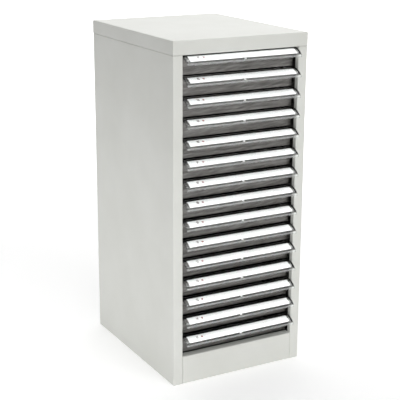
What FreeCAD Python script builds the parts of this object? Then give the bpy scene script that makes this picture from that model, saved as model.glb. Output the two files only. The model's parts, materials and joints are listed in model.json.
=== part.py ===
import FreeCAD, Part
import math
import os

# Drawer cabinet of folded sheet steel with a stack of shallow trays, each opened by a clear label pull.
# Millimetres. X runs to the right, Y from front to back, Z up. While modelling, Y is zero at the front face of
# the cabinet; on export every piece is moved so that the origin lies on the floor under the middle of the
# overall box, which takes in the pulls that stand out in front.

# Cabinet shell
cabinet_width = 375.0
cabinet_depth = 460.0
cap_height = 35.0
plinth_height = 74.0
plinth_depth = 22.0
stile_width = 26.0
stile_return = 13.0
rear_flange_width = 18.0
panel_flange_width = 14.0
panel_flange_relief = 4.0
back_fold = 11.0
deck_fold = 20.0
panel_sheet = 1.0
panel_bend = 2.5
seam_chamfer = 0.7
joint_gap = 0.3

# Drawer stack
drawer_count = 15
drawer_pitch = 50.5
stack_base_gap = 3.5

# Trays
tray_sheet = 0.8
tray_setback = 20.0
tray_side_gap = 4.0
tray_under_gap = 1.5
tray_rear_gap = 6.0
tray_foot = 8.0
rim_drop = 12.0
rim_width = 6.0
rim_lip = 4.0

# Runners and the uprights that carry them
runner_sheet = 1.0
runner_play = 0.2
runner_side_play = 0.7
runner_wall_gap = 1.5
runner_headroom = 3.2
runner_front_gap = 4.0
upright_sheet = 1.2
upright_width = 30.0
upright_front_inset = 16.0
upright_rear_inset = 20.0

# Drawer stops: a lug in the runner's mouth catches a tab on the tray's rim, and a tab closes the runner's end
stop_lug_play = 0.6
stop_tab_play = 0.8
stop_tab_inset = 60.0
stop_gap = 0.5

# Clear pulls: a flat run that grips the tray, a round front with the label pocket, and a thick lip
pull_end_gap = 3.0
pull_top_gap = 1.0
pull_setback = 14.0
pull_slope = 10.0
pull_flat = 7.0
pull_radius = 42.0
pull_front_slope = 50.0
pull_face = 1.5
pull_backing = 1.3
pull_lip_bend = 2.6
pull_lip_length = 2.0
pocket_gap = 0.9
pocket_setback = 5.4
jaw_thickness = 1.2
jaw_play = 0.15
jaw_tip_play = 0.5
thumb_notch_radius = 7.0

# Paper labels
label_thickness = 0.3
label_height = 23.0
label_end_margin = 10.0
label_play = 0.2
label_tab_play = 1.0

# Places that follow from the driving dimensions
half_width = cabinet_width / 2
inner_half = half_width - panel_sheet
opening_half = half_width - stile_width
seam_z = plinth_height + stack_base_gap + drawer_count * drawer_pitch
back_fold_y = cabinet_depth - 2 * panel_sheet - back_fold
deck_front_y = plinth_depth + joint_gap
deck_rear_y = back_fold_y - joint_gap

# Places in a drawer, with Z counted from the top of its own space in the stack
tray_half = opening_half - tray_side_gap
tray_wall_x = tray_half - rim_width
tray_floor_z = tray_under_gap - drawer_pitch
tray_rear_y = back_fold_y - tray_rear_gap
rim_z = -rim_drop
rim_lip_z = rim_z - rim_lip
runner_inner_x = tray_half + runner_side_play
runner_tip_x = tray_wall_x + runner_wall_gap
runner_back_x = runner_inner_x + runner_sheet
runner_ledge_z = rim_lip_z - runner_play
runner_roof_z = rim_z + runner_headroom
runner_front_y = tray_setback + tray_sheet + runner_front_gap
runner_stop_y = tray_rear_y + stop_gap
stop_tab_y = tray_rear_y - stop_tab_inset
drawer_travel = stop_tab_y - stop_gap - runner_front_y - runner_sheet

# Depths under the pull's outer face
label_depth = pull_face + pocket_gap / 2
pull_thickness = pull_face + pocket_gap + pull_backing
grip_depth = pull_thickness + jaw_play + tray_sheet / 2
jaw_depth = grip_depth + tray_sheet / 2 + jaw_play + jaw_thickness / 2
label_start = pocket_setback + label_play
label_end = label_start + label_height


def plan(a, b):
    return FreeCAD.Vector(a, b, 0)


def side_view(a, b):
    return FreeCAD.Vector(0, a, b)


def front_view(a, b):
    return FreeCAD.Vector(a, 0, b)


def direction(start, end):
    length = math.hypot(end[0] - start[0], end[1] - start[1])
    return ((end[0] - start[0]) / length, (end[1] - start[1]) / length)


def left_of(way):
    return (-way[1], way[0])


def along(point, way, distance):
    return (point[0] + way[0] * distance, point[1] + way[1] * distance)


def turn_angle(way_in, way_out):
    cross = way_in[0] * way_out[1] - way_in[1] * way_out[0]
    dot = way_in[0] * way_out[0] + way_in[1] * way_out[1]
    return math.atan2(cross, dot)


def parallel_corners(corners, distance):
    # Corner points of the line that runs beside the given one, at a distance to its left.
    ways = [direction(a, b) for a, b in zip(corners, corners[1:])]
    result = [along(corners[0], left_of(ways[0]), distance)]
    for corner, way_in, way_out in zip(corners[1:], ways, ways[1:]):
        bend = turn_angle(way_in, way_out) / 2
        mitre = direction((0, 0), (way_in[0] + way_out[0], way_in[1] + way_out[1]))
        result.append(along(corner, left_of(mitre), distance / math.cos(bend)))
    result.append(along(corners[-1], left_of(ways[-1]), distance))
    return result


def straight(start, end, view):
    # One straight edge, or none where an arc already reaches the end point.
    if math.dist(start, end) < Part.Precision.confusion():
        return []
    return [Part.LineSegment(view(*start), view(*end)).toShape()]


def rounded_line(corners, radii, view):
    # Edges of a line of straight runs whose corners are arcs of the given radii.
    edges = []
    start = corners[0]
    for before, corner, after, radius in zip(corners, corners[1:], corners[2:], radii):
        way_in = direction(before, corner)
        way_out = direction(corner, after)
        bend = abs(turn_angle(way_in, way_out)) / 2
        arc_start = along(corner, way_in, -radius * math.tan(bend))
        arc_end = along(corner, way_out, radius * math.tan(bend))
        inward = direction(way_in, way_out)
        arc_middle = along(corner, inward, radius / math.cos(bend) - radius)
        edges += straight(start, arc_start, view)
        edges.append(Part.Arc(view(*arc_start), view(*arc_middle), view(*arc_end)).toShape())
        start = arc_end
    return edges + straight(start, corners[-1], view)


def strip(corners, radii, thickness, view):
    # Face of a bent strip. The corners and the bend radii belong to its middle line.
    ways = [direction(a, b) for a, b in zip(corners, corners[1:])]
    shifts = [math.copysign(thickness / 2, turn_angle(a, b)) for a, b in zip(ways, ways[1:])]
    left = parallel_corners(corners, thickness / 2)
    right = parallel_corners(corners, -thickness / 2)
    left_radii = [radius - shift for radius, shift in zip(radii, shifts)]
    right_radii = [radius + shift for radius, shift in zip(radii, shifts)]
    edges = rounded_line(left, left_radii, view)
    edges += straight(left[-1], right[-1], view)
    edges += rounded_line(right[::-1], right_radii[::-1], view)
    edges += straight(right[0], left[0], view)
    return Part.Face(Part.Wire(edges))


def folded(corners, outside_bend, sheet, view):
    # Face of a folded sheet with the same outside radius at every bend.
    radii = [outside_bend - sheet / 2] * (len(corners) - 2)
    return strip(corners, radii, sheet, view)


def creased(corners, sheet, view):
    # Face of a folded sheet whose bends are too tight to show as arcs.
    outline = parallel_corners(corners, sheet / 2) + parallel_corners(corners, -sheet / 2)[::-1]
    return Part.Face(Part.makePolygon([view(*point) for point in outline + outline[:1]]))


def drawn_out(face, length):
    # Solid of a side-view face, drawn out equally to the left and to the right.
    return moved(face, -length / 2, 0, 0).extrude(FreeCAD.Vector(length, 0, 0))


def fused(shapes):
    return shapes[0].multiFuse(shapes[1:]).removeSplitter()


def mirrored(shape):
    return shape.mirror(FreeCAD.Vector(0, 0, 0), FreeCAD.Vector(1, 0, 0))


def moved(shape, x, y, z):
    copy = shape.copy()
    copy.translate(FreeCAD.Vector(x, y, z))
    return copy


def block(size):
    return Part.makeBox(size.x, size.y, size.z, size * -0.5)


def rounded_block(size, sides):
    # Block around the origin with bends along the edges of the sides that face the given ways.
    plain = block(size)
    faces = [max(plain.Faces, key=lambda face: face.CenterOfMass.dot(side)) for side in sides]
    return plain.makeFillet(panel_bend, [edge for face in faces for edge in face.Edges])


def room_inside(size):
    return block(size - FreeCAD.Vector(1, 1, 1) * (2 * panel_sheet))


def pan(shell, size, mouth):
    # Folded pan: a block of the given size, hollowed to the cabinet's sheet and open towards its mouth.
    room = room_inside(size)
    way_out = room.copy()
    way_out.translate(mouth * (2 * panel_sheet))
    return shell.cut(room.fuse(way_out).removeSplitter())


def top_cap():
    # Lid with its skirt turned in below, so that a bend runs along the seam over the side panels.
    size = FreeCAD.Vector(cabinet_width, cabinet_depth, cap_height)
    up = FreeCAD.Vector(0, 0, 1)
    lid = rounded_block(size, [up, -up]).cut(room_inside(size))
    mouth = block(size - FreeCAD.Vector(1, 1, 0) * (2 * panel_flange_width))
    cap = lid.cut(moved(mouth, 0, 0, -cap_height / 2))
    return moved(cap, 0, cabinet_depth / 2, seam_z + cap_height / 2)


def side_panel():
    # The right-hand panel: return lip, stile, side wall and rear flange in one sheet, with turned-in ends.
    middle = panel_sheet / 2
    line = [(opening_half + middle, stile_return),
            (opening_half + middle, middle),
            (half_width - middle, middle),
            (half_width - middle, cabinet_depth - middle),
            (half_width - rear_flange_width, cabinet_depth - middle)]
    wall = folded(line, panel_bend, panel_sheet, plan).extrude(FreeCAD.Vector(0, 0, seam_z))
    flange_y = stile_return + panel_flange_relief
    flange = Part.makeBox(panel_flange_width - middle, back_fold_y - panel_flange_relief - flange_y, panel_sheet,
                          FreeCAD.Vector(half_width - panel_flange_width, flange_y, 0))
    panel = fused([wall, flange, moved(flange, 0, 0, seam_z - panel_sheet)])
    seam = [edge for edge in panel.Edges if edge.CenterOfMass.x > half_width - seam_chamfer
            and edge.CenterOfMass.z > seam_z - seam_chamfer]
    return panel.makeChamfer(seam_chamfer, seam)


def back_panel():
    # It stands between the bends of the side panels and lies against their rear flanges.
    size = FreeCAD.Vector(2 * (half_width - panel_bend - joint_gap), panel_sheet + back_fold, seam_z)
    sheet = pan(block(size), size, FreeCAD.Vector(0, -1, 0))
    return moved(sheet, 0, back_fold_y + size.y / 2, seam_z / 2)


def plinth_panel():
    size = FreeCAD.Vector(2 * (opening_half - joint_gap), plinth_depth, plinth_height)
    mouth = FreeCAD.Vector(0, 1, 0)
    return moved(pan(rounded_block(size, [-mouth]), size, mouth), 0, plinth_depth / 2, plinth_height / 2)


def base_deck():
    size = FreeCAD.Vector(2 * (inner_half - joint_gap), deck_rear_y - deck_front_y, deck_fold)
    floor = pan(block(size), size, FreeCAD.Vector(0, 0, -1))
    return moved(floor, 0, (deck_front_y + deck_rear_y) / 2, plinth_height - deck_fold / 2)


def upright(low_y):
    # A channel on the right-hand side wall, open towards that wall.
    web_x = runner_back_x + upright_sheet / 2
    near_y = low_y + upright_sheet / 2
    far_y = low_y + upright_width - upright_sheet / 2
    line = [(inner_half, near_y), (web_x, near_y), (web_x, far_y), (inner_half, far_y)]
    channel = creased(line, upright_sheet, plan)
    channel = channel.extrude(FreeCAD.Vector(0, 0, seam_z - panel_sheet - plinth_height))
    return moved(channel, 0, 0, plinth_height)


def runner():
    # A right-hand rail with the lug in its mouth and the tab across its end.
    middle = runner_sheet / 2
    line = [(runner_tip_x, runner_roof_z + middle),
            (runner_inner_x + middle, runner_roof_z + middle),
            (runner_inner_x + middle, runner_ledge_z - middle),
            (runner_tip_x, runner_ledge_z - middle)]
    rail = creased(line, runner_sheet, front_view)
    rail = rail.extrude(FreeCAD.Vector(0, runner_stop_y + runner_sheet - runner_front_y, 0))
    reach = runner_back_x - runner_tip_x
    lug_z = rim_z + stop_lug_play
    lug = Part.makeBox(reach, runner_sheet, runner_roof_z + middle - lug_z,
                       FreeCAD.Vector(runner_tip_x, runner_front_y, lug_z))
    end_tab = Part.makeBox(reach, runner_sheet, runner_roof_z - runner_ledge_z,
                           FreeCAD.Vector(runner_tip_x, runner_stop_y, runner_ledge_z))
    return fused([moved(rail, 0, runner_front_y, 0), lug, end_tab])


def heading(slope):
    # Step forward and down in the side view, where forward is towards -Y.
    return (-math.cos(math.radians(slope)), -math.sin(math.radians(slope)))


def pull_point(depth, run):
    # Point under the pull's outer face, at a run along its flat measured from the rear edge.
    flat = heading(pull_slope)
    rear = (pull_setback, -pull_top_gap)
    return along(along(rear, left_of(flat), depth), flat, run)


def slope_at(run):
    # Slope of the pull at a run along the middle of the label pocket, past the flat.
    return pull_slope + math.degrees((run - pull_flat) / (pull_radius - label_depth))


def pull_line(depth, start, end_slope):
    # Three corners of a line along the pull's flat and round front, and the radius of its arc.
    radius = pull_radius - depth
    tangent = radius * math.tan(math.radians(end_slope - pull_slope) / 2)
    corner = pull_point(depth, pull_flat + tangent)
    return [pull_point(depth, start), corner, along(corner, heading(end_slope), tangent)], radius


def half_disc(radius, depth, height):
    # Half-round plate under the middle of the label's lower edge, rising from a depth under the pull's face.
    slope = slope_at(label_end)
    middle = pull_line(depth, 0, slope)[0][-1]
    low = along(middle, heading(slope), radius)
    rise = along((0, 0), left_of(heading(slope)), -height)
    side = FreeCAD.Vector(radius, 0, 0)
    left_end = side_view(*middle) - side
    right_end = side_view(*middle) + side
    outline = Part.Wire([Part.Arc(left_end, side_view(*low), right_end).toShape(),
                         Part.LineSegment(right_end, left_end).toShape()])
    return Part.Face(outline).extrude(side_view(*rise))


def lip_line():
    # Corners of the pull's middle line from the rear edge to the end of the lip, with their bend radii.
    corners, radius = pull_line(pull_thickness / 2, 0, pull_front_slope)
    bend = math.radians(90 - pull_front_slope) / 2
    lip_corner = along(corners[-1], heading(pull_front_slope), pull_lip_bend * math.tan(bend))
    lip_end = along(lip_corner, heading(90), pull_lip_length)
    return corners[:-1] + [lip_corner, lip_end], [radius, pull_lip_bend]


def drawer_pull():
    length = 2 * (opening_half - pull_end_gap)
    corners, radii = lip_line()
    body = strip(corners, radii, pull_thickness, side_view)
    bead_edge = Part.Circle(side_view(*corners[-1]), FreeCAD.Vector(1, 0, 0), pull_thickness / 2)
    bead = Part.Face(Part.Wire(bead_edge.toShape()))
    corners, radius = pull_line(label_depth, pocket_setback, slope_at(label_end + label_play))
    pocket = strip(corners, [radius], pocket_gap, side_view)
    jaw_front = pull_flat - jaw_thickness / 2
    jaw_line = [pull_point(jaw_depth, 0), pull_point(jaw_depth, jaw_front), pull_point(label_depth, jaw_front)]
    jaw = creased(jaw_line, jaw_thickness, side_view)
    body, bead, jaw, pocket = [drawn_out(face, length) for face in (body, bead, jaw, pocket)]
    notch = half_disc(thumb_notch_radius, pull_face + pocket_gap, pull_radius)
    return fused([body, bead, jaw]).cut(pocket).cut(notch)


def drawer_label():
    # Paper strip with a half-round tab that shows in the thumb notch.
    length = 2 * (opening_half - pull_end_gap - label_end_margin)
    corners, radius = pull_line(label_depth, label_start, slope_at(label_end))
    paper = drawn_out(strip(corners, [radius], label_thickness, side_view), length)
    tab = half_disc(thumb_notch_radius - label_tab_play, label_depth + label_thickness / 2, label_thickness)
    return fused([paper, tab])


def drawer_tray():
    middle = tray_sheet / 2
    wall_x = tray_wall_x - middle
    lip_x = tray_half - middle
    right = [(wall_x, tray_floor_z + middle), (wall_x, rim_z - middle), (lip_x, rim_z - middle), (lip_x, rim_lip_z)]
    left = [(-x, z) for x, z in right[::-1]]
    trough = creased(left + right, tray_sheet, front_view)
    trough = trough.extrude(FreeCAD.Vector(0, tray_rear_y - tray_setback - tray_sheet, 0))
    wall_y = tray_setback + middle
    wall_run = (pull_point(grip_depth, 0)[0] - wall_y) / math.cos(math.radians(pull_slope))
    front_line = [(wall_y + tray_foot, tray_floor_z + middle),
                  (wall_y, tray_floor_z + middle),
                  pull_point(grip_depth, wall_run),
                  pull_point(grip_depth, pull_flat - jaw_thickness - jaw_tip_play)]
    front = drawn_out(creased(front_line, tray_sheet, side_view), 2 * tray_half)
    rear_y = tray_rear_y - middle
    rear_line = [(rear_y - tray_foot, tray_floor_z + middle), (rear_y, tray_floor_z + middle), (rear_y, rim_z)]
    rear = drawn_out(creased(rear_line, tray_sheet, side_view), 2 * tray_wall_x)
    tab_height = runner_headroom - stop_tab_play
    tab = Part.makeBox(tray_half - runner_tip_x, tray_sheet, tab_height + middle,
                       FreeCAD.Vector(runner_tip_x, stop_tab_y, rim_z - middle))
    return fused([moved(trough, 0, tray_setback + tray_sheet, 0), front, rear, tab, mirrored(tab)])


def drawer_top_z(number):
    return seam_z - (number - 1) * drawer_pitch


def stacked(shape):
    return [moved(shape, 0, 0, drawer_top_z(number)) for number in range(1, drawer_count + 1)]


def cabinet_nodes():
    panel = side_panel()
    front_upright = upright(runner_front_y + upright_front_inset)
    rear_upright = upright(runner_stop_y - upright_rear_inset - upright_width)
    runners = Part.makeCompound(stacked(runner()))
    return {
        "top_cap": top_cap(),
        "left_side_panel": mirrored(panel),
        "right_side_panel": panel,
        "back_panel": back_panel(),
        "plinth_panel": plinth_panel(),
        "base_deck": base_deck(),
        "left_front_upright": mirrored(front_upright),
        "left_rear_upright": mirrored(rear_upright),
        "right_front_upright": front_upright,
        "right_rear_upright": rear_upright,
        "left_runners": mirrored(runners),
        "right_runners": runners,
    }


def drawer_nodes():
    pieces = {"drawer_tray": drawer_tray(), "drawer_pull": drawer_pull(), "drawer_label": drawer_label()}
    return {f"{name}_{number:02d}": copy for name, piece in pieces.items()
            for number, copy in enumerate(stacked(piece), 1)}


lip_corner = lip_line()[0][-2]
pull_projection = pull_thickness / 2 - lip_corner[0]
origin_y = (cabinet_depth - pull_projection) / 2

os.makedirs("parts", exist_ok=True)
for name, shape in {**cabinet_nodes(), **drawer_nodes()}.items():
    moved(shape, 0, -origin_y, 0).exportStep(f"parts/{name}.step")
print(f"pulls stand {pull_projection:.2f} mm in front, drawers travel {drawer_travel:.1f} mm")
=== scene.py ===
import json
import math
import bmesh
import bpy
from mathutils import Euler, Matrix, Vector

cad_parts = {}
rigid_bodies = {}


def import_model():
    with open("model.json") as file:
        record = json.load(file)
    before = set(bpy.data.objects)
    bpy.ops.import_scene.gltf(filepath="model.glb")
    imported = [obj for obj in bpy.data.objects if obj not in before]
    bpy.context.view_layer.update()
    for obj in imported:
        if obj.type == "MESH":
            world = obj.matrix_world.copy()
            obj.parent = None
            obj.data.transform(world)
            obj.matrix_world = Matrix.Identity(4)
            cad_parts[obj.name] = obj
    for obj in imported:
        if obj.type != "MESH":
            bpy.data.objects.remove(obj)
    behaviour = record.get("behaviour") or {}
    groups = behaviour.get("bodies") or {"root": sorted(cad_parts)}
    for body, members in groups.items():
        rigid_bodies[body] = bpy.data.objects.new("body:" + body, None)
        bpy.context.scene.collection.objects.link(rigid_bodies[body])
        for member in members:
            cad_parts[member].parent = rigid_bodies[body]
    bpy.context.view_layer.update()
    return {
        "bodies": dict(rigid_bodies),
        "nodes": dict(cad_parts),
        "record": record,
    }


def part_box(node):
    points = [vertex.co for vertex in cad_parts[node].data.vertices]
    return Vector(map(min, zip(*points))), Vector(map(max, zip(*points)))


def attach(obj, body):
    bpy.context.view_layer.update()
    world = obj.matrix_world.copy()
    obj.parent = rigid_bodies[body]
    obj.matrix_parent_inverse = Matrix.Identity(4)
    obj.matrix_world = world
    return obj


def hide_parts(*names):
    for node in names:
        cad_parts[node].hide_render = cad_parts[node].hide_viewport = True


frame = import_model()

drawerTags = [name[-2:] for name in sorted(frame["bodies"]) if name.startswith("drawer_")]
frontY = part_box("left_side_panel")[0][1]
print("frame loaded,", len(frame["nodes"]), "nodes,", len(drawerTags), "drawers")


# shader helpers

def newMaterial(name):
    mat = bpy.data.materials.new(name)
    mat.use_nodes = True
    mat.node_tree.nodes.clear()
    return mat


def addNode(mat, kind, settings=None, byPlace=None, **sockets):
    node = mat.node_tree.nodes.new("ShaderNode" + kind)
    for key, value in (settings or {}).items():
        setattr(node, key, value)
    inputs = dict(byPlace or {})  # for inputs that share one name
    inputs.update({key.replace("_", " "): value for key, value in sockets.items()})
    for key, value in inputs.items():
        if isinstance(value, bpy.types.NodeSocket):
            mat.node_tree.links.new(value, node.inputs[key])
        else:
            node.inputs[key].default_value = value
    return node


def objectCoords(mat, scale=(1, 1, 1)):
    coords = addNode(mat, "TexCoord").outputs["Object"]
    return addNode(mat, "Mapping", Vector=coords, Scale=scale).outputs["Vector"]


def noise(mat, coords, scale=1.0, detail=3.0, rough=0.5):
    return addNode(mat, "TexNoise", Vector=coords, Scale=scale, Detail=detail, Roughness=rough).outputs["Fac"]


def bumped(mat, height, strength, depth):
    return addNode(mat, "Bump", Height=height, Strength=strength, Distance=depth).outputs["Normal"]


def colourRamp(mat, factor, tones):
    ramp = addNode(mat, "ValToRGB", Fac=factor)
    while len(ramp.color_ramp.elements) < len(tones):
        ramp.color_ramp.elements.new(0.5)
    for element, (place, colour) in zip(ramp.color_ramp.elements, tones):
        element.position = place
        element.color = (*colour, 1.0)
    return ramp.outputs["Color"]


def remap(mat, value, low, high, start=0.0, end=1.0):
    node = addNode(mat, "MapRange", Value=value, From_Min=start, From_Max=end, To_Min=low, To_Max=high)
    return node.outputs["Result"]


def showSurface(mat, shader):
    addNode(mat, "OutputMaterial", Surface=shader)
    return mat


# light grey powder coat, slightly warm, with a fine grain

coat = {"tones": [(0.3, (0.690, 0.697, 0.655)), (0.7, (0.735, 0.742, 0.705))], "blotch": 7.0, "blotchDetail": 4.0,
        "grain": 1400.0, "grainDetail": 2.0, "bump": 0.35, "bumpDepth": 0.00005, "roughLow": 0.40, "roughHigh": 0.52,
        "ior": 1.48}


def powderCoat():
    mat = newMaterial("powderCoat")
    flat = objectCoords(mat)
    blotch = noise(mat, flat, coat["blotch"], coat["blotchDetail"])
    grain = noise(mat, flat, coat["grain"], coat["grainDetail"])
    tint = colourRamp(mat, blotch, coat["tones"])
    rough = remap(mat, grain, coat["roughLow"], coat["roughHigh"])
    bump = bumped(mat, grain, coat["bump"], coat["bumpDepth"])
    skin = addNode(mat, "BsdfPrincipled", Base_Color=tint, Roughness=rough, Normal=bump, IOR=coat["ior"])
    return showSurface(mat, skin.outputs["BSDF"])


# bare zinc-coated sheet: rolling streaks along each wall and short slanting brush marks

zinc = {"tones": [(0.38, (0.080, 0.078, 0.074)), (0.5, (0.128, 0.125, 0.119)), (0.64, (0.208, 0.204, 0.197))],
        "streaks": (3.0, 110.0, 110.0), "streakDetail": 4.0, "streakRough": 0.55,
        "brush": (24.0, 210.0, 210.0), "brushDetail": 3.0, "brushRough": 0.6, "brushShare": 0.5, "lean": 9.0,
        "bump": 0.25, "bumpDepth": 0.0001, "roughLow": 0.22, "roughHigh": 0.34}


def alongWalls(mat, scale, lean=0.0):
    coords = addNode(mat, "TexCoord").outputs
    across = addNode(mat, "SeparateXYZ", Vector=coords["Normal"]).outputs["X"]
    onSide = addNode(mat, "Math", {"operation": "ABSOLUTE"}, Value=across).outputs["Value"]
    quarter = (0.0, 0.0, math.radians(90))
    turned = addNode(mat, "Mapping", Vector=coords["Object"], Rotation=quarter).outputs["Vector"]
    # side walls take the streaks along their depth
    run = addNode(mat, "Mix", {"data_type": "VECTOR"}, {0: onSide, 4: coords["Object"], 5: turned}).outputs[1]
    slant = (0.0, math.radians(lean), 0.0)
    leant = addNode(mat, "Mapping", Vector=run, Rotation=slant).outputs["Vector"]
    return addNode(mat, "Mapping", Vector=leant, Scale=scale).outputs["Vector"]


def zincSheet():
    mat = newMaterial("zincSheet")
    streak = noise(mat, alongWalls(mat, zinc["streaks"]), 1.0, zinc["streakDetail"], zinc["streakRough"])
    brush = noise(mat, alongWalls(mat, zinc["brush"], zinc["lean"]), 1.0, zinc["brushDetail"], zinc["brushRough"])
    both = addNode(mat, "Mix", {"data_type": "FLOAT"}, {0: zinc["brushShare"], 2: streak, 3: brush}).outputs[0]
    tint = colourRamp(mat, both, zinc["tones"])
    rough = remap(mat, streak, zinc["roughLow"], zinc["roughHigh"])
    bump = bumped(mat, streak, zinc["bump"], zinc["bumpDepth"])
    metal = addNode(mat, "BsdfPrincipled", Base_Color=tint, Roughness=rough, Normal=bump, Metallic=1.0)
    return showSurface(mat, metal.outputs["BSDF"])


# clear extruded plastic with fine die lines along the pull, rougher and milky where the lip's attribute says so: the
# milkiness is painted light, a glow in the lip's bead and a paleness along the left end
# painted shade: a dark tint behind the label, counted from the cabinet's front, stands in for the shadow under the
# tray above, and a dark line under the label, counted from the pull's top, stands in for the shade at the pocket's
# lower end

clear = {"tint": (0.985, 0.995, 0.992), "ior": 1.49, "dieLines": (3.0, 900.0, 900.0), "lineDetail": 2.0,
         "roughLow": 0.02, "roughHigh": 0.06, "hazyRough": 0.35, "glowClear": 0.89,
         "shadeTint": (0.11, 0.11, 0.107), "rearShade": (0.0050, 0.0058),
         "shadeLineStart": (0.0126, 0.0130), "shadeLineEnd": (0.0150, 0.0158)}


# mask of the painted shade: the band behind the label and the line under it
def paintedShadeShare(mat):
    depth = addNode(mat, "SeparateXYZ", Vector=addNode(mat, "TexCoord").outputs["Object"]).outputs["Y"]
    rear = remap(mat, depth, 0.0, 1.0, *[frontY + place for place in clear["rearShade"]])
    drop = addNode(mat, "Attribute", {"attribute_name": "drop"}).outputs["Fac"]
    start = remap(mat, drop, 0.0, 1.0, *clear["shadeLineStart"])
    end = remap(mat, drop, 0.0, 1.0, *clear["shadeLineEnd"])
    line = addNode(mat, "Math", {"operation": "SUBTRACT"}, {0: start, 1: end}).outputs["Value"]
    return addNode(mat, "Math", {"operation": "MAXIMUM"}, {0: rear, 1: line}).outputs["Value"]


def clearPlastic():
    mat = newMaterial("clearPlastic")
    lines = noise(mat, objectCoords(mat, clear["dieLines"]), 1.0, clear["lineDetail"])
    fine = remap(mat, lines, clear["roughLow"], clear["roughHigh"])
    frostGlowShare = addNode(mat, "Attribute", {"attribute_name": "frostGlow"}).outputs["Fac"]
    rough = remap(mat, frostGlowShare, fine, clear["hazyRough"])
    # painted glow: less transmission turns the lip and the left end milky white
    through = remap(mat, frostGlowShare, 1.0, clear["glowClear"])
    # clear tint turning dark where the painted shade lies
    tint = colourRamp(mat, paintedShadeShare(mat), [(0.0, clear["tint"]), (1.0, clear["shadeTint"])])
    body = addNode(mat, "BsdfPrincipled", Base_Color=tint, Roughness=rough, IOR=clear["ior"],
                   Transmission_Weight=through).outputs["BSDF"]
    # lamps reach the paper behind
    gap = addNode(mat, "BsdfTransparent", Color=(*clear["tint"], 1.0)).outputs["BSDF"]
    shadow = addNode(mat, "LightPath").outputs["Is Shadow Ray"]
    return showSurface(mat, addNode(mat, "MixShader", None, {0: shadow, 1: body, 2: gap}).outputs["Shader"])


# white label paper with faint fibres

paper = {"tones": [(0.35, (0.94, 0.94, 0.937)), (0.6, (0.97, 0.97, 0.965))], "fibres": (500.0, 1400.0, 1400.0),
         "bump": 0.2, "bumpDepth": 0.00003, "rough": 0.85}


def labelPaper():
    mat = newMaterial("labelPaper")
    fibres = noise(mat, objectCoords(mat, paper["fibres"]))
    tint = colourRamp(mat, fibres, paper["tones"])
    bump = bumped(mat, fibres, paper["bump"], paper["bumpDepth"])
    sheet = addNode(mat, "BsdfPrincipled", Base_Color=tint, Roughness=paper["rough"], Normal=bump)
    return showSurface(mat, sheet.outputs["BSDF"])


# near-black painted shade for the pull ends, and printing ink, each a little uneven

def mottled(name, tones, scale, rough):
    mat = newMaterial(name)
    tint = colourRamp(mat, noise(mat, objectCoords(mat), scale), tones)
    skin = addNode(mat, "BsdfPrincipled", Base_Color=tint, Roughness=rough)
    return showSurface(mat, skin.outputs["BSDF"])


finishes = {"painted_steel": powderCoat(), "galvanised_steel": zincSheet(), "clear_plastic": clearPlastic(),
            "label_paper": labelPaper()}
for part in frame["record"]["subparts"]:
    node = frame["nodes"][part["node"]]
    for slot in node.material_slots:
        slot.material = finishes[part["material_slot"]]
print("finishes set on", len(frame["nodes"]), "nodes")


# clear pulls, finer than the CAD ones: swept section, label pocket, thumb notch, jaw round the tray's flange
# depths count inwards from the pull's outer face, slopes are degrees below level

pull = {"setback": 0.014, "flat": 0.007, "radius": 0.042, "rearSlope": 10.0, "frontSlope": 50.0, "thickness": 0.0037,
        "halfLength": 0.1585, "lipBend": 0.0026, "lipLength": 0.00105, "arcSteps": 28, "lipSteps": 10, "beadSteps": 14,
        "crease": 30.0, "merge": 1e-6}
pocket = {"depths": (0.0015, 0.0024), "start": 0.0054, "endSlope": 44.0, "over": 0.01}
jaw = {"back": 0.0058, "tip": 0.0048, "deep": 0.006}
notch = {"radius": 0.007, "depth": 0.0022, "segments": 64}
# frosted lip bend and left end, whose milky paleness is painted light
frostGlow = {"top": -0.0174, "bottom": -0.0198, "fade": 0.0005, "end": -0.1492, "endMargin": 0.0001, "endLevel": 0.15}

# paper strip with a small tab, and the number and square printed on it
label = {"depths": (0.0018, 0.0021), "startSlope": 13.0, "endSlope": 43.0, "halfLength": 0.1485, "tab": 0.0035}
mark = {"depth": 0.00177, "slope": 26.0, "textSize": 0.0105, "narrow": 0.6, "bold": 0.0004, "number": 0.026,
        "square": 0.040, "side": 0.0048, "mottle": 700.0, "rough": 0.7,
        "numberTones": [(0.35, (0.050, 0.016, 0.018)), (0.65, (0.085, 0.030, 0.032))],
        "squareTones": [(0.35, (0.26, 0.060, 0.065)), (0.65, (0.36, 0.095, 0.10))]}

# dark ends of the pulls, painted shade: near-black plates that stand in for the dark edge the clear ends show by
# refraction; where each starts and stops along the width, and how deep it goes
endShade = {"startSlope": 11.0, "endSlope": 46.0, "skin": -0.00012, "mottle": 90.0, "rough": 0.6,
         "ends": {"left": (-0.1584, -0.1580, 0.0014), "right": (0.1543, 0.1584, 0.0034)},
         "tones": [(0.35, (0.004, 0.004, 0.004)), (0.65, (0.008, 0.008, 0.008))]}


def heading(slope):
    angle = math.radians(slope)
    return Vector((0.0, -math.cos(angle), -math.sin(angle)))


def inward(slope):
    angle = math.radians(slope)
    return Vector((0.0, math.sin(angle), -math.cos(angle)))


def flatPoint(depth, run):
    start = Vector((0.0, frontY + pull["setback"], 0.0))
    return start + inward(pull["rearSlope"]) * depth + heading(pull["rearSlope"]) * run


def arcPoint(depth, slope):
    return flatPoint(pull["radius"], pull["flat"]) - inward(slope) * (pull["radius"] - depth)


def onPull(depth, slope):
    tilt = Matrix((Vector((1, 0, 0)), -heading(slope), -inward(slope))).transposed()
    return Matrix.Translation(arcPoint(depth, slope)) @ tilt.to_4x4()


def kept(geom, kind):
    return [item for item in geom if isinstance(item, kind)]


def edgeAt(bm, place):
    return min(bm.edges, key=lambda edge: ((edge.verts[0].co + edge.verts[1].co) / 2 - place).length)


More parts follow.
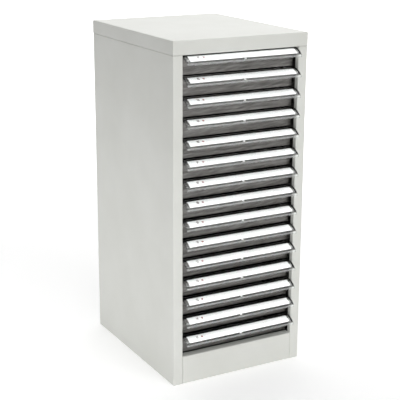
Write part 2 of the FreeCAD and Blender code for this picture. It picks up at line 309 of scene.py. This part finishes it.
def pushOn(bm, edges, step):
    made = bmesh.ops.extrude_edge_only(bm, edges=edges)["geom"]
    bmesh.ops.translate(bm, verts=kept(made, bmesh.types.BMVert), vec=step)
    return kept(made, bmesh.types.BMEdge)


def turnOn(bm, edges, centre, angle, steps):
    made = bmesh.ops.spin(bm, geom=edges, cent=centre, axis=(1, 0, 0), angle=math.radians(angle), steps=steps)
    return kept(made["geom_last"], bmesh.types.BMEdge)


def sweepSection(bm, depths, runs, endSlope, startSlope=pull["rearSlope"]):
    corner = flatPoint(depths[0], runs[0]) if runs else arcPoint(depths[0], startSlope)
    first = bmesh.ops.create_vert(bm, co=corner)["vert"]
    second = bmesh.ops.extrude_vert_indiv(bm, verts=first)
    bmesh.ops.translate(bm, verts=second["verts"], vec=inward(startSlope) * (depths[1] - depths[0]))
    row = second["edges"]
    for start, end in zip(runs, runs[1:]):
        row = pushOn(bm, row, heading(pull["rearSlope"]) * (end - start))
    return turnOn(bm, row, arcPoint(pull["radius"], 0.0), endSlope - startSlope, pull["arcSteps"])


def thicken(bm, step):
    made = bmesh.ops.extrude_face_region(bm, geom=bm.faces[:], use_keep_orig=True)["geom"]
    bmesh.ops.translate(bm, verts=kept(made, bmesh.types.BMVert), vec=step)
    bmesh.ops.recalc_face_normals(bm, faces=bm.faces)


def drawOut(bm, left, right):
    bmesh.ops.dissolve_edges(bm, edges=[edge for edge in bm.edges if len(edge.link_faces) == 2])
    bmesh.ops.translate(bm, verts=bm.verts, vec=(left, 0, 0))
    thicken(bm, (right - left, 0, 0))


def cutAt(bm, place, across, clearOuter=False):
    bmesh.ops.bisect_plane(bm, geom=bm.verts[:] + bm.edges[:] + bm.faces[:], plane_co=place, plane_no=across,
                           clear_outer=clearOuter)


def toMesh(bm, name):
    mesh = bpy.data.meshes.new(name)
    bm.to_mesh(mesh)
    bm.free()
    return mesh


def addObject(mesh):
    piece = bpy.data.objects.new(mesh.name, mesh)
    bpy.context.scene.collection.objects.link(piece)
    return piece


def halfDisc(name, radius, depth, height):
    bm = bmesh.new()
    bmesh.ops.create_circle(bm, cap_ends=True, segments=notch["segments"], radius=radius)
    cutAt(bm, (0, 0, 0), (0, 1, 0), clearOuter=True)
    thicken(bm, (0, 0, height))
    bmesh.ops.transform(bm, matrix=onPull(depth, label["endSlope"]), verts=bm.verts)
    return addObject(toMesh(bm, name))


def carved(piece, operation, tools):
    for tool in tools:
        step = piece.modifiers.new(tool.name, "BOOLEAN")
        step.operation, step.object, step.solver = operation, tool, "EXACT"
    solid = bpy.data.meshes.new_from_object(piece.evaluated_get(bpy.context.evaluated_depsgraph_get()))
    for used in [piece] + tools:
        bpy.data.objects.remove(used)
    solid.shade_smooth()
    solid.set_sharp_from_angle(angle=math.radians(pull["crease"]))
    return solid


def pullBody():
    bm = bmesh.new()
    row = sweepSection(bm, (0.0, pull["thickness"]), (0.0, jaw["back"], pull["flat"]), pull["frontSlope"])
    bend = arcPoint(pull["thickness"] / 2 + pull["lipBend"], pull["frontSlope"])
    row = turnOn(bm, row, bend, 90.0 - pull["frontSlope"], pull["lipSteps"])
    row = pushOn(bm, row, heading(90.0) * pull["lipLength"])

    # round bead on the lip's end
    ends = row[0].verts[0].co.copy(), row[0].verts[1].co.copy()
    middle = (ends[0] + ends[1]) / 2
    bmesh.ops.subdivide_edges(bm, edges=row, cuts=1)
    outer = edgeAt(bm, (middle + min(ends, key=lambda end: end.y)) / 2)
    turnOn(bm, [outer], middle, 180.0, pull["beadSteps"])

    # jaw under the flat
    foot = edgeAt(bm, flatPoint(pull["thickness"], (jaw["back"] + pull["flat"]) / 2))
    for start, end in ((pull["thickness"], jaw["tip"]), (jaw["tip"], jaw["deep"])):
        foot = pushOn(bm, [foot], inward(pull["rearSlope"]) * (end - start))[0]
    heel = edgeAt(bm, flatPoint((jaw["tip"] + jaw["deep"]) / 2, jaw["back"]))
    pushOn(bm, [heel], heading(pull["rearSlope"]) * -jaw["back"])
    bmesh.ops.remove_doubles(bm, verts=bm.verts, dist=pull["merge"])
    drawOut(bm, -pull["halfLength"], pull["halfLength"])
    return addObject(toMesh(bm, "pullBody"))


def pullMesh():
    body = pullBody()
    bm = bmesh.new()
    sweepSection(bm, pocket["depths"], (pocket["start"], pull["flat"]), pocket["endSlope"])
    drawOut(bm, -pull["halfLength"] - pocket["over"], pull["halfLength"] + pocket["over"])
    slit = addObject(toMesh(bm, "pullPocket"))
    thumb = halfDisc("pullNotch", notch["radius"], notch["depth"], pull["radius"])
    solid = carved(body, "DIFFERENCE", [slit, thumb])

    # frosted, milky lip bend (a painted glow standing in for light gathered in the bead) and a weaker painted paleness
    # along the left end; drop below the pull's top
    bm = bmesh.new()
    bm.from_mesh(solid)
    cutAt(bm, (frostGlow["end"], 0, 0), (1, 0, 0))
    bm.to_mesh(solid)
    bm.free()
    level = solid.attributes.new("frostGlow", "FLOAT", "POINT")
    for vertex, value in zip(solid.vertices, level.data):
        inside = min(frostGlow["top"] - vertex.co.z, vertex.co.z - frostGlow["bottom"])
        value.value = min(max(inside / frostGlow["fade"], 0.0), 1.0)
        if vertex.co.x < frostGlow["end"] - frostGlow["endMargin"]:
            value.value = max(value.value, frostGlow["endLevel"])
    drop = solid.attributes.new("drop", "FLOAT", "POINT")
    for vertex, value in zip(solid.vertices, drop.data):
        value.value = -vertex.co.z
    return solid


def labelMesh():
    bm = bmesh.new()
    sweepSection(bm, label["depths"], (), label["endSlope"], label["startSlope"])
    drawOut(bm, -label["halfLength"], label["halfLength"])
    strip = addObject(toMesh(bm, "labelStrip"))
    tab = halfDisc("labelTab", label["tab"], label["depths"][1], label["depths"][1] - label["depths"][0])
    return carved(strip, "UNION", [tab])


def endShadeMesh(side):
    left, right, deep = endShade["ends"][side]
    bm = bmesh.new()
    sweepSection(bm, (endShade["skin"], deep), (), endShade["endSlope"], endShade["startSlope"])
    drawOut(bm, left, right)
    return carved(addObject(toMesh(bm, "endShadePlate")), "UNION", [])


def flatText(letters):
    words = bpy.data.curves.new("number", "FONT")
    words.body, words.size, words.offset = letters, mark["textSize"], mark["bold"]
    words.align_x, words.align_y = "CENTER", "CENTER"
    holder = bpy.data.objects.new("number", words)
    mesh = bpy.data.meshes.new_from_object(holder)
    mesh.transform(Matrix.Diagonal((mark["narrow"], 1.0, 1.0, 1.0)))
    bpy.data.objects.remove(holder)
    return mesh


def flatSquare():
    bm = bmesh.new()
    bmesh.ops.create_grid(bm, x_segments=1, y_segments=1, size=mark["side"] / 2)
    return toMesh(bm, "square")


def addPiece(mesh, name, tag, material):
    mesh.transform(Matrix.Translation((0, 0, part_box("drawer_pull_" + tag)[1][2])))
    mesh.materials.clear()
    mesh.materials.append(material)
    piece = bpy.data.objects.new(name + "_" + tag, mesh)
    bpy.context.scene.collection.objects.link(piece)
    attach(piece, "drawer_" + tag)
    return piece


pullShape, labelShape = pullMesh(), labelMesh()
endShadeShapes = {side: endShadeMesh(side) for side in endShade["ends"]}
# painted shade: a near-black finish for the end plates
paintedEndShade = mottled("endShadeFinish", endShade["tones"], endShade["mottle"], endShade["rough"])
numberInk = mottled("numberInk", mark["numberTones"], mark["mottle"], mark["rough"])
markInk = mottled("markInk", mark["squareTones"], mark["mottle"], mark["rough"])
onLabel = onPull(mark["depth"], mark["slope"])
for tag in drawerTags:
    fine = addPiece(pullShape.copy(), "drawer_pull_fine", tag, finishes["clear_plastic"])
    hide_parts("drawer_pull_" + tag)
    strip = addPiece(labelShape.copy(), "drawer_label_fine", tag, finishes["label_paper"])
    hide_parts("drawer_label_" + tag)
    # near-black plates on both pull ends, painted shade for their refraction edge
    for side, shape in endShadeShapes.items():
        addPiece(shape.copy(), "pull_end_" + side, tag, paintedEndShade)
    for name, mesh, place, ink in (("label_number", flatText(tag), mark["number"], numberInk),
                                   ("label_square", flatSquare(), mark["square"], markInk)):
        mesh.transform(onLabel @ Matrix.Translation((place - label["halfLength"], 0, 0)))
        addPiece(mesh, name, tag, ink)
print("pulls, labels and their marks set on", len(drawerTags), "drawers")


# floor, lamps and camera

stage = {"floorRadius": 14.0, "floorSegments": 96, "floorMottle": 3.0, "floorRough": 0.9,
         "floorTones": [(0.3, (0.9504, 0.9504, 0.9504)), (0.7, (0.96, 0.96, 0.96))],
         "nearGlow": 0.25, "farGlow": 0.90, "glowStart": 1.1, "glowEnd": 2.6,
         "worldTone": (1.0, 1.0, 1.0, 1.0), "worldLevel": 0.15}
lamps = {"overheadBox": {"size": (3.2, 3.2), "power": 30.0, "place": (0.5, -0.1, 2.8), "target": (0.5, -0.1, 0.0)},
         "keyBox": {"size": (1.6, 1.6), "power": 4.2, "place": (0.7, -2.3, 2.5), "target": (0.0, -0.2, 0.40),
                    "spread": 75.0},
         "fillBox": {"size": (1.6, 1.0), "power": 7.5, "place": (-0.9, -3.2, 0.7), "target": (0.0, -0.2, 0.30),
                     "spread": 75.0},
         "leftBox": {"size": (1.6, 0.5), "power": 5.2, "place": (-1.25, 0.0, 0.28), "target": (-0.60, 0.0, -0.52)},
         "backdropBox": {"size": (9.0, 8.0), "power": 240.0, "place": (2.8, 5.4, 3.2), "target": (2.8, 5.4, 0.0)}}
view = {"place": (-1.3183, -2.3851, 1.2059), "turn": 0.5076, "tilt": 0.2851, "roll": 0.0053, "lens": 95.54,
        "sensor": 36.0}


def seenRays(mat):
    rays = addNode(mat, "LightPath").outputs
    seen = rays["Is Camera Ray"]
    for kind in ("Is Glossy Ray", "Is Transmission Ray"):
        either = {"operation": "ADD", "use_clamp": True}
        seen = addNode(mat, "Math", either, {0: seen, 1: rays[kind]}).outputs["Value"]
    return seen


def addFloor():
    bm = bmesh.new()
    bmesh.ops.create_circle(bm, cap_ends=True, segments=stage["floorSegments"], radius=stage["floorRadius"])
    floor = addObject(toMesh(bm, "floor"))
    mat = newMaterial("paleFloor")
    mat.cycles.emission_sampling = "NONE"  # the glow is only seen, it lights nothing
    tone = colourRamp(mat, noise(mat, objectCoords(mat), stage["floorMottle"]), stage["floorTones"])
    skin = addNode(mat, "BsdfPrincipled", Base_Color=tone, Roughness=stage["floorRough"]).outputs["BSDF"]

    # lifts the floor to white and keeps the shadow on it
    far = addNode(mat, "VectorMath", {"operation": "LENGTH"}, Vector=objectCoords(mat)).outputs["Value"]
    level = remap(mat, far, stage["nearGlow"], stage["farGlow"], stage["glowStart"], stage["glowEnd"])
    white = addNode(mat, "Math", {"operation": "MULTIPLY"}, {0: level, 1: seenRays(mat)}).outputs["Value"]
    glow = addNode(mat, "Emission", Strength=white).outputs["Emission"]
    whole = addNode(mat, "AddShader", None, {0: skin, 1: glow}).outputs["Shader"]
    floor.data.materials.append(showSurface(mat, whole))


def addLamp(name, size, power, place, target, spread=180.0):
    lamp = bpy.data.lights.new(name, "AREA")
    lamp.shape = "RECTANGLE"
    lamp.size, lamp.size_y = size
    lamp.energy = power
    lamp.spread = math.radians(spread)
    holder = bpy.data.objects.new(name, lamp)
    holder.location = place
    holder.rotation_euler = (Vector(target) - Vector(place)).to_track_quat("-Z", "Y").to_euler()
    holder.visible_camera = False
    bpy.context.scene.collection.objects.link(holder)


def addCamera():
    camera = bpy.data.objects.new("camera", bpy.data.cameras.new("camera"))
    camera.data.lens, camera.data.sensor_width = view["lens"], view["sensor"]
    camera.location = view["place"]
    aim = Euler((math.pi / 2 - view["tilt"], 0.0, -view["turn"])).to_matrix() @ Matrix.Rotation(view["roll"], 3, "Z")
    camera.rotation_euler = aim.to_euler()
    bpy.context.scene.collection.objects.link(camera)
    bpy.context.scene.camera = camera


addFloor()
for name, values in lamps.items():
    addLamp(name, **values)

world = bpy.data.worlds.new("studio")
world.use_nodes = True
background = world.node_tree.nodes["Background"]
background.inputs["Color"].default_value = stage["worldTone"]
world.node_tree.links.new(remap(world, seenRays(world), stage["worldLevel"], 1.0), background.inputs["Strength"])
bpy.context.scene.world = world
bpy.context.scene.view_settings.view_transform = "Standard"
addCamera()
print("stage, lamps and camera placed")
